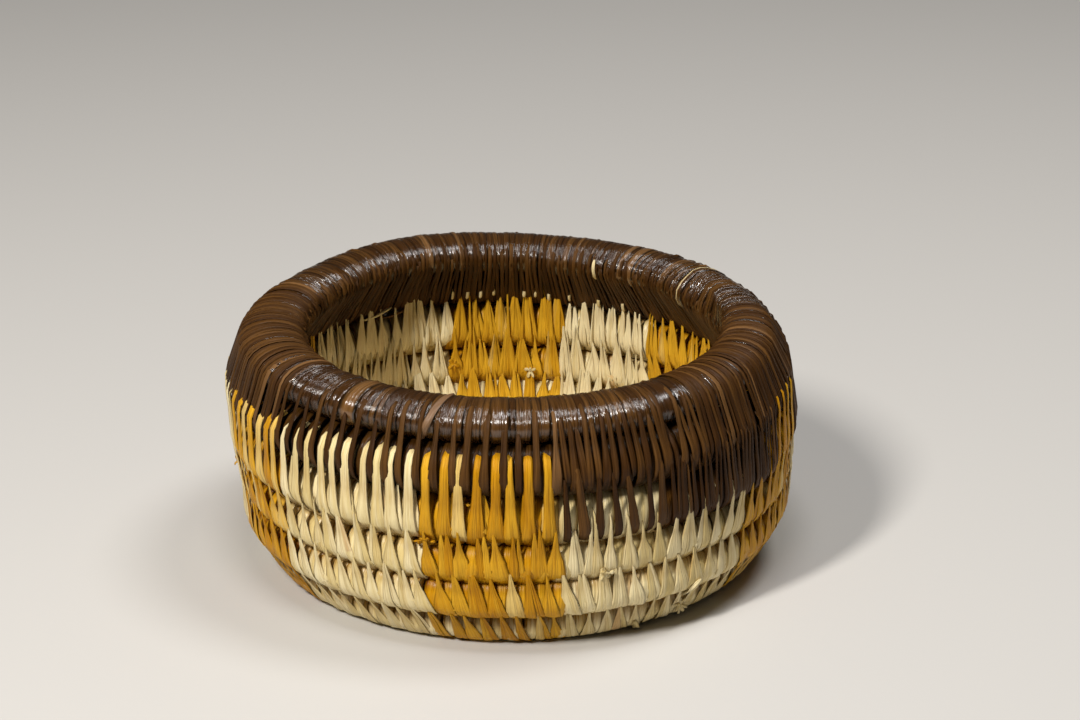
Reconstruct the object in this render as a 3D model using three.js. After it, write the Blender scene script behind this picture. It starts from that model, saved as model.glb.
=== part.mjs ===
// A small round basket, coiled from a bundle of stems and bound with dyed raffia.
// Millimetres, +Z up. The ground is Z = 0, the front faces -Y and the right side is +X.
// Angles are in degrees, measured from the front towards the right.
import * as THREE from 'three';

// Driving sizes
const bodyRadius = 90;            // widest outline of the wall
const coilRadius = 5.65;          // wrapped coil of the lower wall rows
const shoulderCoilRadius = 7.3;   // thicker wrapped coil of the rows under the rim
const rimHalfWidth = 9.9;         // the rim is wider than it is tall
const rimHalfHeight = 6.4;
const wrapThickness = 1.7;        // raffia layers round the stems
const bundleClearance = 0.4;      // stems to the inside of the wraps
const turnGap = 0.5;              // one turn of the coil to the next
const windingGap = 0.4;           // one winding to the next along the coil
const wallRows = 5;
const shoulderRows = 2;           // how many of the wall rows have the thicker coil
const firstRowInset = 16.4;       // widest outline in to the middle of the lowest row
const footReach = 14.2;           // how far in from the wall its foot starts to curve
const footHeight = 24;            // how far up the foot's curve ends
const shoulderBend = 18;          // radius that leads the wall in under the rim
const shoulderLead = 0.6;         // how far below the top row's middle that bend starts
const centreHole = 2.2;           // eye in the middle of the floor
const groundFlatDepth = 1.3;      // how much the floor coil is pressed flat on the ground
const startHalfWidth = 1.6;       // tapered start of the coil at the eye
const tipHalfHeight = 1.8;        // tapered end of the rim
const bundleTip = 1.2;            // half thickness of the stems where they taper out
const longestStep = 15;           // degrees between two sections of the coil

// Bands of dyed raffia round the wall, in the order in which they are wound.
const firstBandAngle = 143;
const bands = [
  { dye: 'cream', width: 25.5 },
  { dye: 'ochre', width: 28.5 },
  { dye: 'cream', width: 41 },
  { dye: 'ochre', width: 26 },
  { dye: 'cream', width: 21 },
  { dye: 'ochre', width: 24 },
  { dye: 'cream', width: 34.4 },
  { dye: 'ochre', width: 26.5 },
  { dye: 'cream', width: 44.1 },
  { dye: 'ochre', width: 26 },
  { dye: 'cream', width: 36 },
  { dye: 'ochre', width: 27 },
];
const climbBands = 3;             // the coil rises to its next row along the last bands
const patchBand = 8;              // band of the second highest row that is wound in brown
const brownRunBands = 3;          // bands that one brown strip covers

const dyes = {
  cream: { color: new THREE.Color(0.87, 0.78, 0.60), roughness: 0.55, metalness: 0 },
  ochre: { color: new THREE.Color(0.78, 0.52, 0.12), roughness: 0.55, metalness: 0 },
  brown: { color: new THREE.Color(0.19, 0.11, 0.06), roughness: 0.38, metalness: 0 },
  stems: { color: new THREE.Color(0.72, 0.62, 0.42), roughness: 0.8, metalness: 0 },
};

// Sizes that follow
const wallRadius = bodyRadius - shoulderCoilRadius;
const firstRowRadius = bodyRadius - firstRowInset;
const floorReach = firstRowRadius - coilRadius - centreHole / 2;
const floorTurns = Math.floor(floorReach / (2 * coilRadius + turnGap));
const floorCoilRadius = (floorReach / floorTurns - turnGap) / 2;
const floorPitch = 2 * floorCoilRadius + turnGap;
const floorHeight = floorCoilRadius - groundFlatDepth;
const firstTurnRadius = centreHole / 2 + floorCoilRadius;
const thinRows = wallRows - shoulderRows;
const topRow = floorTurns + wallRows;
const rimTurn = topRow + 1;

const clamp = THREE.MathUtils.clamp;
const lerp = THREE.MathUtils.lerp;

// Line that the middle of the coil follows, as distance from the axis and height:
// along the floor, round the foot, up the wall, round the shoulder and in towards the axis.
function wallLine(shoulderHeight) {
  const line = new THREE.Path();
  line.moveTo(0, floorHeight);
  line.lineTo(wallRadius - footReach, floorHeight);
  line.absellipse(wallRadius - footReach, floorHeight + footHeight, footReach, footHeight,
    -Math.PI / 2, 0, false);
  line.lineTo(wallRadius, shoulderHeight);
  line.absarc(wallRadius - shoulderBend, shoulderHeight, shoulderBend, 0, Math.PI / 2, false);
  line.lineTo(0, shoulderHeight + shoulderBend);
  return line;
}
const straightUp = floorHeight + footHeight + (wallRows + 1) * 2 * shoulderCoilRadius;
let line = wallLine(straightUp);
let lineLength = line.getLength();

// Outlines of a section, as points round it: along is the wall line's direction there and
// across points out of the basket. Flat sides face the neighbouring turns.
const outerSides = 8;
const boreSides = 6;
const outerUnit = unitOutline(outerSides, 0.5, 1 / Math.cos(Math.PI / outerSides));
const boreUnit = unitOutline(boreSides, 0, 1);
const openEndFaces = THREE.ShapeUtils.triangulateShape(outerUnit,
  [boreUnit.map((p) => p.clone().multiplyScalar(0.5))]);

function unitOutline(sides, turn, reach) {
  return Array.from({ length: sides }, (_, i) => {
    const angle = (i + turn) * 2 * Math.PI / sides;
    return new THREE.Vector2(Math.cos(angle) * reach, Math.sin(angle) * reach);
  });
}

function outline(section, unit, inset) {
  const { centre, along } = section;
  const across = new THREE.Vector2(along.y, -along.x);
  return unit.map((p) => {
    const point = centre.clone()
      .addScaledVector(along, p.x * (section.halfAlong - inset))
      .addScaledVector(across, p.y * (section.halfAcross - inset));
    point.y = Math.max(point.y, 0);
    return point;
  });
}

// Gap between two convex outlines, measured square to their sides; negative when they cross.
function gapBetween(first, second) {
  const oneWay = (from, to) => Math.max(...from.map((point, i) => {
    const side = from[(i + 1) % from.length].clone().sub(point);
    const out = new THREE.Vector2(side.y, -side.x).normalize();
    const spin = Math.sign(THREE.ShapeUtils.area(from));
    return Math.min(...to.map((other) => other.clone().sub(point).dot(out) * spin));
  }));
  return Math.max(oneWay(first, second), oneWay(second, first));
}

// Where in a range a test turns from false to true.
function firstTrue(low, high, test) {
  const halvings = 40;
  for (let i = 0; i < halvings; i += 1) {
    const middle = (low + high) / 2;
    if (test(middle)) high = middle;
    else low = middle;
  }
  return high;
}

// Section of the coil where it is in the given row, at a distance along the wall line.
function sectionOnLine(row, distance) {
  const t = clamp(distance / lineLength, 0, 1);
  const rimShare = clamp(row - topRow, 0, 1);
  const round = floorCoilRadius
    + (coilRadius - floorCoilRadius) * clamp(row - floorTurns, 0, 1)
    + (shoulderCoilRadius - coilRadius) * clamp(row - floorTurns - thinRows, 0, 1);
  return {
    centre: line.getPoint(t),
    along: line.getTangent(t).lerp(new THREE.Vector2(0, 1), rimShare).normalize(),
    halfAlong: lerp(round, rimHalfHeight, rimShare),
    halfAcross: lerp(round, rimHalfWidth, rimShare),
    distance,
  };
}

// Every turn at one angle, from the floor's middle to the rim. climb goes from 0 to 1 as
// the coil leaves its row for the next, and each turn is seated against the one before.
function turnsAt(climb) {
  const turns = [];
  turns[1] = sectionOnLine(1 + climb, firstTurnRadius + floorPitch * climb);
  for (let turn = 2; turn <= rimTurn - (climb > 0 ? 1 : 0); turn += 1) {
    const before = turns[turn - 1];
    const beforeOutline = outline(before, outerUnit, 0);
    const distance = firstTrue(before.distance, before.distance + 4 * shoulderCoilRadius,
      (d) => gapBetween(beforeOutline, outline(sectionOnLine(turn + climb, d), outerUnit, 0))
        >= turnGap);
    turns[turn] = sectionOnLine(turn + climb, distance);
  }
  if (climb > 0) {
    turns[0] = taperedStart(turns[1]);
    turns[rimTurn] = taperedEnd(turns[topRow]);
  }
  return turns;
}

// The coil's start fills the room between the eye and the first turn.
function taperedStart(next) {
  const halfAlong = (next.centre.x - next.halfAlong - turnGap - centreHole / 2) / 2;
  const halfAcross = Math.sqrt(Math.max(halfAlong, 0) * floorCoilRadius);
  const height = halfAcross * floorHeight / floorCoilRadius;
  return {
    centre: new THREE.Vector2(centreHole / 2 + halfAlong, height),
    along: new THREE.Vector2(1, 0),
    halfAlong,
    halfAcross,
  };
}

// The rim's end thins out under a level top, over the coil that rises to become the rim.
function taperedEnd(below) {
  const rim = level[rimTurn];
  const top = rim.centre.y + rimHalfHeight;
  const belowOutline = outline(below, outerUnit, 0);
  const thinned = (halfHeight) => ({
    centre: new THREE.Vector2(rim.centre.x, top - halfHeight),
    along: new THREE.Vector2(0, 1),
    halfAlong: halfHeight,
    halfAcross: rimHalfWidth * Math.sqrt(halfHeight / rimHalfHeight),
  });
  const lost = firstTrue(0, rimHalfHeight, (drop) => (
    gapBetween(belowOutline, outline(thinned(rimHalfHeight - drop), outerUnit, 0)) >= turnGap));
  return thinned(rimHalfHeight - lost);
}
let level = turnsAt(0);

// The rows are seated on a wall that goes straight up first, and the shoulder then bends in
// where the top row came to sit.
line = wallLine(level[topRow].centre.y - shoulderLead);
lineLength = line.getLength();
level = turnsAt(0);

// Sections of one whole turn: the angle of each, its band and how far it has climbed.
function stationsOfTurn() {
  const total = bands.reduce((sum, band) => sum + band.width, 0);
  const climbWidth = bands.slice(-climbBands).reduce((sum, band) => sum + band.width, 0);
  const stations = [];
  let wound = 0;
  bands.forEach((band, bandIndex) => {
    const steps = Math.ceil(band.width / longestStep);
    for (let i = 0; i < steps; i += 1) {
      const reached = wound + band.width * i / steps;
      const share = clamp((reached - (total - climbWidth)) / climbWidth, 0, 1);
      const climb = THREE.MathUtils.smoothstep(share, 0, 1);
      stations.push({ angle: firstBandAngle + 360 * reached / total, bandIndex, climb });
    }
    wound += band.width;
  });
  return stations;
}
const turnStations = stationsOfTurn();
const perTurn = turnStations.length;
const bandStart = bands.map((_, band) => turnStations.findIndex((s) => s.bandIndex === band));

// The whole coil in order: a section with its outlines in space for each station.
function windCoil() {
  const columns = turnStations.map((s) => (s.climb > 0 ? turnsAt(s.climb) : level));
  const coil = [];
  for (let turn = 0; turn <= rimTurn; turn += 1) {
    turnStations.forEach((station, i) => {
      const section = columns[i][turn];
      if (!section) return;
      if (turn === 0 && section.halfAlong < startHalfWidth) return;
      if (turn === rimTurn && section.halfAlong < tipHalfHeight) return;
      coil.push(ringSet(section, station.angle, turn * perTurn + i));
    });
  }
  return coil;
}

function ringSet(section, angle, place) {
  const radians = THREE.MathUtils.degToRad(angle);
  const inSpace = (points) => points.map((p) => (
    new THREE.Vector3(p.x * Math.sin(radians), -p.x * Math.cos(radians), p.y)));
  const thinnest = Math.min(section.halfAlong, section.halfAcross);
  const flat = {
    outer: outline(section, outerUnit, 0),
    stems: outline(section, boreUnit, wrapThickness + bundleClearance),
  };
  return {
    place,
    flat,
    hasStems: thinnest - wrapThickness - bundleClearance >= bundleTip,
    middle: inSpace([section.centre])[0],
    outer: inSpace(flat.outer),
    bore: inSpace(outline(section, boreUnit, wrapThickness)),
    stems: inSpace(flat.stems),
  };
}

const coil = windCoil();
const firstPlace = coil[0].place;
const lastPlace = coil[coil.length - 1].place;
const stemRings = coil.filter((ring) => ring.hasStems);
const firstStems = stemRings[0].place;
const lastStems = stemRings[stemRings.length - 1].place;

// A ring between two neighbouring ones, a short way along the coil from the first.
function ringBetween(from, to, way) {
  const share = way / from.middle.distanceTo(to.middle);
  const mix = (key) => from[key].map((p, i) => p.clone().lerp(to[key][i], share));
  return { outer: mix('outer'), bore: mix('bore'), stems: mix('stems') };
}

// Rings from one place on the coil to another, with both ends drawn back by a small way.
function ringsOfRun(from, to, backAtStart, backAtEnd) {
  const rings = coil.slice(from - firstPlace, to - firstPlace + 1);
  const last = rings.length - 1;
  const start = backAtStart > 0 ? ringBetween(rings[0], rings[1], backAtStart) : rings[0];
  const end = backAtEnd > 0 ? ringBetween(rings[last], rings[last - 1], backAtEnd) : rings[last];
  return [start, ...rings.slice(1, last), end];
}

// One closed tube from outer rings and, where it is hollow, bore rings.
function tubeGeometry(outerRings, boreRings = [], openStart = false, openEnd = false) {
  const positions = [];
  const index = [];
  const addRing = (ring) => {
    const first = positions.length / 3;
    ring.forEach((p) => positions.push(p.x, p.y, p.z));
    return first;
  };
  const face = (a, b, c, inward) => index.push(...(inward ? [a, c, b] : [a, b, c]));
  const addSides = (starts, sides, inward) => {
    for (let ring = 0; ring < starts.length - 1; ring += 1) {
      for (let i = 0; i < sides; i += 1) {
        const next = (i + 1) % sides;
        const [here, there] = [starts[ring], starts[ring + 1]];
        face(here + i, here + next, there + next, inward);
        face(here + i, there + next, there + i, inward);
      }
    }
  };
  const addCap = (start, sides, inward) => {
    for (let i = 1; i < sides - 1; i += 1) face(start, start + i, start + i + 1, inward);
  };
  const addOpenEnd = (outerStart, boreStart, inward) => {
    const vertex = (v) => (v < outerSides ? outerStart + v : boreStart + v - outerSides);
    openEndFaces.forEach(([a, b, c]) => face(vertex(a), vertex(b), vertex(c), inward));
  };
  const outer = outerRings.map(addRing);
  const bore = boreRings.map(addRing);
  const outerCount = outerRings[0].length;
  addSides(outer, outerCount, false);
  addSides(bore, boreSides, true);
  if (openStart) addOpenEnd(outer[0], bore[0], true);
  else addCap(outer[0], outerCount, true);
  if (openEnd) addOpenEnd(outer[outer.length - 1], bore[bore.length - 1], false);
  else addCap(outer[outer.length - 1], outerCount, false);
  if (bore.length && !openStart) addCap(bore[0], boreSides, false);
  if (bore.length && !openEnd) addCap(bore[bore.length - 1], boreSides, true);
  const geometry = new THREE.BufferGeometry();
  geometry.setAttribute('position', new THREE.Float32BufferAttribute(positions, 3));
  geometry.setIndex(index);
  geometry.computeVertexNormals();
  return geometry;
}

function meshOf(name, geometry, dye) {
  const mesh = new THREE.Mesh(geometry, new THREE.MeshStandardMaterial(dyes[dye]));
  mesh.name = name;
  return mesh;
}

// Wraps over the coil from one place to another, hollow wherever the stems run.
function wraps(name, from, to, dye) {
  const back = windingGap / 2;
  const start = from === firstPlace ? 0 : back;
  const end = to === lastPlace ? 0 : back;
  const openStart = from >= firstStems;
  const openEnd = to <= lastStems;
  const outer = ringsOfRun(from, to, start, end);
  const bore = ringsOfRun(Math.max(from, firstStems), Math.min(to, lastStems),
    openStart ? start : 0, openEnd ? end : 0);
  return meshOf(name, tubeGeometry(outer.map((ring) => ring.outer),
    bore.map((ring) => ring.bore), openStart, openEnd), dye);
}

// The stems are one unbroken tube from the floor's middle to the rim's end.
function stemBundle() {
  const rings = ringsOfRun(firstStems, lastStems, windingGap, windingGap);
  return meshOf('stem_bundle', tubeGeometry(rings.map((ring) => ring.stems)), 'stems');
}

// Place on the coil where a band of a turn starts.
function placeOf(turn, band) {
  return turn * perTurn + (band < bands.length ? bandStart[band] : perTurn);
}

function dyeOf(turn, band) {
  const secondHighest = turn === topRow - 1;
  if (secondHighest && (band === patchBand || band > patchBand + 1)) return 'brown';
  return bands[band].dye;
}

// The floor is plain cream up to the last climbing band, where it turns up as the wall.
function floorWraps() {
  const turnUp = placeOf(floorTurns, bands.length - 1);
  return [
    wraps('floor_wraps', firstPlace, turnUp, 'cream'),
    wraps('floor_turn_up_wraps', turnUp, placeOf(floorTurns + 1, 0), 'ochre'),
  ];
}

// Each band of a wall row is a winding of its own, and neighbours of one dye are joined.
function bandedRow(turn) {
  const pieces = [];
  let from = 0;
  while (from < bands.length) {
    let to = from + 1;
    while (to < bands.length && dyeOf(turn, to) === dyeOf(turn, from)) to += 1;
    const dye = dyeOf(turn, from);
    const number = String(pieces.length + 1).padStart(2, '0');
    const name = `row${turn - floorTurns}_wraps_${number}_${dye}`;
    pieces.push(wraps(name, placeOf(turn, from), placeOf(turn, to), dye));
    from = to;
  }
  return pieces;
}

// The top row and the rim are brown all round, wound with one strip after another.
function brownTurn(turn, label) {
  const pieces = [];
  for (let band = 0; band < bands.length; band += brownRunBands) {
    const to = Math.min(placeOf(turn, band + brownRunBands), lastPlace);
    const name = `${label}_wraps_${pieces.length + 1}`;
    pieces.push(wraps(name, placeOf(turn, band), to, 'brown'));
  }
  return pieces;
}

// Least gap between one turn and the next of an unbroken tube, over all its sections.
function leastGap(key, from, to) {
  const rings = coil.filter((ring) => ring.place >= from && ring.place <= to);
  const gaps = rings.slice(perTurn).map((ring, i) => gapBetween(ring.flat[key], rings[i].flat[key]));
  return Math.min(...gaps);
}

const basket = new THREE.Group();
basket.add(stemBundle(), ...floorWraps());
for (let turn = floorTurns + 1; turn < topRow; turn += 1) basket.add(...bandedRow(turn));
basket.add(...brownTurn(topRow, `row${wallRows}`), ...brownTurn(rimTurn, 'rim'));

const floorEnd = placeOf(floorTurns, bands.length - 1);
console.log(`least gap, stems to themselves: ${leastGap('stems', firstStems, lastStems).toFixed(2)} mm`);
console.log(`least gap, floor wraps to themselves: ${leastGap('outer', firstPlace, floorEnd).toFixed(2)} mm`);

export default basket;
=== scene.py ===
# A small round basket, coiled from a bundle of stems and bound with dyed raffia.
# Lengths are in millimetres until a mesh is made. Angles are in degrees, from the front
# towards the right, and one lap runs from 143 to 503. A turn is one lap of the coil: 0 is
# its thin start, 1 to 5 lie in the floor, 6 to 10 are the wall rows and 11 is the rim.
# Side 1 is the outside or underside of the basket and -1 its inside.
import bpy
import math
from functools import partial
import numpy as np
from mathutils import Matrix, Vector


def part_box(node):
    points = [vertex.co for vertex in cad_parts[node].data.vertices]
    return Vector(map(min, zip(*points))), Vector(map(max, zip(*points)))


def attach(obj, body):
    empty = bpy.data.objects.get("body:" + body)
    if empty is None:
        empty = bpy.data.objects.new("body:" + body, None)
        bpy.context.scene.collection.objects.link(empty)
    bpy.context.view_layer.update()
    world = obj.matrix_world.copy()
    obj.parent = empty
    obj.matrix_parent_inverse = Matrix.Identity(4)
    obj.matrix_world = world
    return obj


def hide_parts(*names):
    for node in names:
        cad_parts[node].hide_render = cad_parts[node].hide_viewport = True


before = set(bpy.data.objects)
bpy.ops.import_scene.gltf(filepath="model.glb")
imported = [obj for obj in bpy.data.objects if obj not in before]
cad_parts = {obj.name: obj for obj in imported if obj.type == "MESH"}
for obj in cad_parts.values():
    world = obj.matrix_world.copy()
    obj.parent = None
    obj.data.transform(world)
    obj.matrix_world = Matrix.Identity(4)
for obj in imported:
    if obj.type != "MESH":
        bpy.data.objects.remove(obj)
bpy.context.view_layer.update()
bpy.ops.object.select_all(action="DESELECT")

MM = 0.001
RADIAN = 57.3                # in degrees
chance = np.random.default_rng(20)

# ---- the coil
FLOOR_TURNS = 5
TOP_ROW = 10
RIM = 11
FLOOR_COIL = 6.43            # half thickness of the coil in the floor
FLOOR_HEIGHT = 5.13          # height of its middle there
FIRST_TURN = 7.53            # distance of the floor's first turn from the axis
FLOOR_STEP = 13.37           # distance from each turn of the floor to the next
EYE = 1.1                    # distance of the coil's start from the axis
RIM_HALF_WIDTH = 9.9
FRONT_STATION = math.cos(math.radians(3.35))     # for the CAD's foremost corners
LAP_START = 143.0
CLIMB_START = 414.0          # from here to the lap's end the coil rises to its next row
LAP_END = 503.0
LAP_MARGIN = 0.05            # strips keep this far from the lap's ends
SKEW = 1.4                   # how far the foot stands to the right of the rim
SKEW_HEIGHT = 62             # the height where that has faded out
BANDS = [                    # where each band of dye ends, and its dye
    (168.5, "cream"), (197, "ochre"), (238, "cream"), (264, "ochre"),
    (285, "cream"), (309, "ochre"), (343.4, "cream"), (369.9, "ochre"),
    (414, "cream"), (440, "ochre"), (476, "cream"), (503, "ochre"),
]

# the row under the top one, where brown takes the place of the bands' dyes
PATCH_START = 369.9          # at the front right
PATCH_SINGLE = 391.0         # up to here the strips lie one by one over cream wraps
PATCH_END = 426.0
BROWN_START = 440.0          # from here to the lap's end it is brown once more
BROWN_INSIDE = 462.0         # and from here the inside has brown strips, too
DOUBLE_START = 367.0         # from here to BROWN_START two strips leave the rim together,
UNEVEN_START = 371.0         # and from here the tips of the third row's stitches are uneven

# the rim
RIM_RIGHT = 76               # near these two angles the rim lies close on the row below it
RIM_LEFT = 276
RIM_SEAM = 485.0             # where the rim's thin end is bound down
TAN_STRIPS = (145.0, 147.0, 161.5, 195.0, 205.0, 306.0, 327.0, 405.5)     # their angles

# strips
WALL_STITCHES = 100          # in a lap of the wall
RIM_STITCHES = 108           # in a lap of the row under the rim
RIM_WRAPS = 250              # in a lap of the rim
FLOOR_PITCH = 5.2            # from stitch to stitch in the floor
ROW_LEAN = (2.6, 1.6, 0.6, 0.4)     # how far the stitches of each wall row lean
WRAP_START, WRAP_END = -95, 268     # a wrap's ends, round the section of the coil
LOWEST = 0.75                # lowest height of a strip's middle
GROUND = 0.02                # lowest height of its corners
TAN = 0.97                   # the tint that turns a brown strip tan


def turn_table():
    """Distance from the axis, height, half thickness and half width of the coil in each
    turn. Those of the wall and the rim come from the boxes of their CAD nodes."""
    table = []
    for turn in range(1, FLOOR_TURNS + 1):
        middle = FIRST_TURN + FLOOR_STEP * (turn - 1)
        table.append((middle, FLOOR_HEIGHT, FLOOR_COIL, FLOOR_COIL))
    for row in range(1, 7):
        name = {5: "row5_wraps_3", 6: "rim_wraps_3"}.get(row, f"row{row}_wraps_08_ochre")
        low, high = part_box(name)
        half = (high.z - low.z) / 2 / MM
        reach = -low.y / MM / FRONT_STATION
        width = RIM_HALF_WIDTH if row == 6 else half
        table.append((reach - width, (high.z + low.z) / 2 / MM, half, width))
    return np.array(table)


TURNS = turn_table()
TURNS[-3:, 1] += (0.25, 0.5, -0.6)      # the soft coils under the rim lie close together
TOP = TURNS[-1, 1] + TURNS[-1, 2]


def clamped(value):
    """The value, kept between 0 and 1."""
    return min(max(value, 0), 1)


def near(angle, middle, spread):
    """1 at an angle round the basket, falling off on both sides of it."""
    off = (angle - middle + 180) % 360 - 180
    return math.exp(-(off / spread) ** 2)


def wall_tilt():
    """Direction of the wall at each turn: 0 lies outwards along the floor, 90 stands up."""
    step = np.gradient(TURNS[:, :2], axis=0)
    tilt = np.degrees(np.arctan2(step[:, 1], step[:, 0]))
    tilt[:FLOOR_TURNS - 1] = 0
    tilt[-1] = 90
    return tilt


TILT = wall_tilt()


def climb(angle):
    """How far the coil has risen to its next turn, from 0 to 1."""
    share = clamped((angle - CLIMB_START) / (LAP_END - CLIMB_START))
    return share * share * (3 - 2 * share)


def smooth_pick(column, place):
    """Value of a column between two turns, on a smooth curve through all of them."""
    last = len(column) - 1
    at = min(max(place, 0), last)
    i = min(int(at), last - 1)
    t = at - i
    a, b = column[i], column[i + 1]
    before = column[max(i - 1, 0)]
    after = column[min(i + 2, last)]
    slope_a = (b - before) / 2
    slope_b = (after - a) / 2
    return ((2 * t ** 3 - 3 * t ** 2 + 1) * a + (t ** 3 - 2 * t ** 2 + t) * slope_a
            + (3 * t ** 2 - 2 * t ** 3) * b + (t ** 3 - t ** 2) * slope_b)


def section(turn, angle):
    """Section of the coil: distance from the axis, height, half thickness, half width and
    tilt. The hand-made basket strays from a true round in the places named here."""
    risen = climb(angle)
    raised_back = 1.9 * near(angle, 208, 26) - 0.25 * near(angle, 150, 24)
    if turn == 0:
        half = max((FLOOR_STEP * risen - 0.5) / 2, 0.3)
        thick = math.sqrt(half * FLOOR_COIL)
        return EYE + half, thick * FLOOR_HEIGHT / FLOOR_COIL, half, thick, 0.0
    if turn == RIM:
        radius, _, half, width = TURNS[-1]
        left = max(1 - 1.03 * risen, 0.06)      # of its thickness, which tapers to its end
        bulge = near(angle, 284, 26)
        height = TOP - half * left - 0.4 * risen + raised_back
        return (radius + 0.5 * bulge, height, half * left,
                width * math.sqrt(left) + bulge, 90.0)
    place = turn - 1 + risen
    radius, height, half, width = (smooth_pick(TURNS[:, i], place) for i in range(4))
    tilt = float(np.interp(place, range(RIM), TILT))
    if turn > FLOOR_TURNS:
        phase = 1.9 * turn
        radius += 0.25 * math.sin(math.radians(3 * angle) + phase)
        height += 0.22 * math.sin(math.radians(2 * angle) + 2 * phase)
        height += raised_back * clamped((place - TOP_ROW + 3) / 3)
        low = clamped(1 - (place - FLOOR_TURNS) / 2.5)
        height += low * (1.1 * near(angle, 62, 40) - 0.9 * near(angle, 312, 45)
                         - 0.6 * near(angle, 0, 40))
        radius += low * 0.8 * near(angle, 350, 60)
        mid_wall = near(20 * place, 20 * (FLOOR_TURNS + 1.5), 30)     # 1 half way up
        radius += near(angle, 78, 36) * mid_wall
    return radius, height, half, width, tilt


def around(turn, angle, start, end, lift, count, side=1, fill=0.0):
    """Points over the coil's section, from one place round it to another: 0 faces out of
    the basket, or into it on side -1, and 90 faces the next turn. lift is their distance
    from the coil. fill thickens the section towards its neighbours."""
    radius, height, half, width, tilt = section(turn, angle)
    phi = np.radians(np.linspace(start, end, count))
    lean = math.radians(tilt)
    lift = lift + fill * np.sin(phi) ** 4
    out = (width + lift) * np.cos(phi) * side
    up = (half + lift) * np.sin(phi)
    return np.stack([radius + out * math.sin(lean) + up * math.cos(lean),
                     height - out * math.cos(lean) + up * math.sin(lean)], axis=1)


def pulled_tight(points, side):
    """The line of a strip that is pulled tight over points, from the first to the last."""
    def chain(order):
        kept = []
        for i in order:
            while len(kept) > 1:
                a, b = points[kept[-2]], points[kept[-1]]
                if ((b[0] - a[0]) * (points[i][1] - b[1])
                        > (b[1] - a[1]) * (points[i][0] - b[0])):
                    break
                kept.pop()
            kept.append(i)
        return kept[:-1]

    order = sorted(range(len(points)), key=lambda i: tuple(points[i]))
    hull = chain(order) + chain(order[::-1])
    if side > 0:
        hull.reverse()
    first = hull.index(min(hull))
    hull = hull[first:] + hull[:first]
    way = hull[:hull.index(max(hull)) + 1]
    if way[0] > 0:
        way.insert(0, 0)
    if way[-1] < len(points) - 1:
        way.append(len(points) - 1)
    return points[way]


def even_points(points, count):
    """Points at even distances along a line, and its length."""
    step = np.linalg.norm(np.diff(points, axis=0), axis=1)
    run = np.concatenate([[0], np.cumsum(step)])
    at = np.linspace(0, run[-1], count)
    return np.stack([np.interp(at, run, points[:, i]) for i in (0, 1)], axis=1), run[-1]


# ---- strips of raffia
def start_section(name, corners, chosen):
    """A ring of corners across X, in edit mode, with those that chosen picks selected."""
    bpy.ops.mesh.primitive_circle_add(vertices=corners, radius=1, fill_type="NGON",
                                      calc_uvs=False, rotation=(0, math.pi / 2, 0))
    ring = bpy.context.object
    ring.name = name
    bpy.ops.object.transform_apply(location=False, rotation=True, scale=False)
    picked = [chosen(v) for v in ring.data.vertices]
    for v in ring.data.vertices:
        v.select = picked[v.index]
    for e in ring.data.edges:
        e.select = all(picked[i] for i in e.vertices)
    ring.data.polygons[0].select = False
    bpy.ops.object.mode_set(mode="EDIT")
    bpy.ops.mesh.select_mode(type="VERT")
    return ring


def face_outwards():
    """Turns the faces of the mesh in edit mode outwards, and leaves edit mode."""
    bpy.ops.mesh.select_all(action="SELECT")
    bpy.ops.mesh.normals_make_consistent(inside=False)
    bpy.ops.object.mode_set(mode="OBJECT")


def draw_out(ring, stations):
    """Draws a section out along X to a length of 1, and gives the place of its corners."""
    bpy.ops.mesh.select_all(action="SELECT")
    for _ in range(stations):
        bpy.ops.mesh.extrude_region_move(
            TRANSFORM_OT_translate={"value": (1 / stations, 0, 0)})
    face_outwards()
    return np.array([v.co[:] for v in ring.data.vertices])


def cut_strip(name, stations):
    """A strip 1 long in X, from -1 to 1 wide in Y and crowned to 1 in Z, with five corners
    over its face and one behind. It is drawn out of that section."""
    strip = start_section(name, 8, lambda v: v.co.z < -0.5)
    bpy.ops.mesh.merge(type="CENTER")
    bpy.ops.transform.translate(value=(0, 0, 0.5))
    co = draw_out(strip, stations)
    faces = [tuple(p.vertices) for p in strip.data.polygons]
    bpy.data.objects.remove(strip)
    return {"at": np.rint(co[:, 0] * stations).astype(int), "across": co[:, 1],
            "crown": co[:, 2], "pleat": np.rint(co[:, 1]).astype(int) + 1,
            "faces": faces, "stations": stations}


STITCH = cut_strip("stitch", 10)
WRAP = cut_strip("wrap", 13)
RIM_WRAP = cut_strip("rim_wrap", 18)

pieces = {}                  # strips of each piece, under the CAD node that it replaces
DYES = ["cream", "ochre", "brown", "polished brown"]


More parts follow.
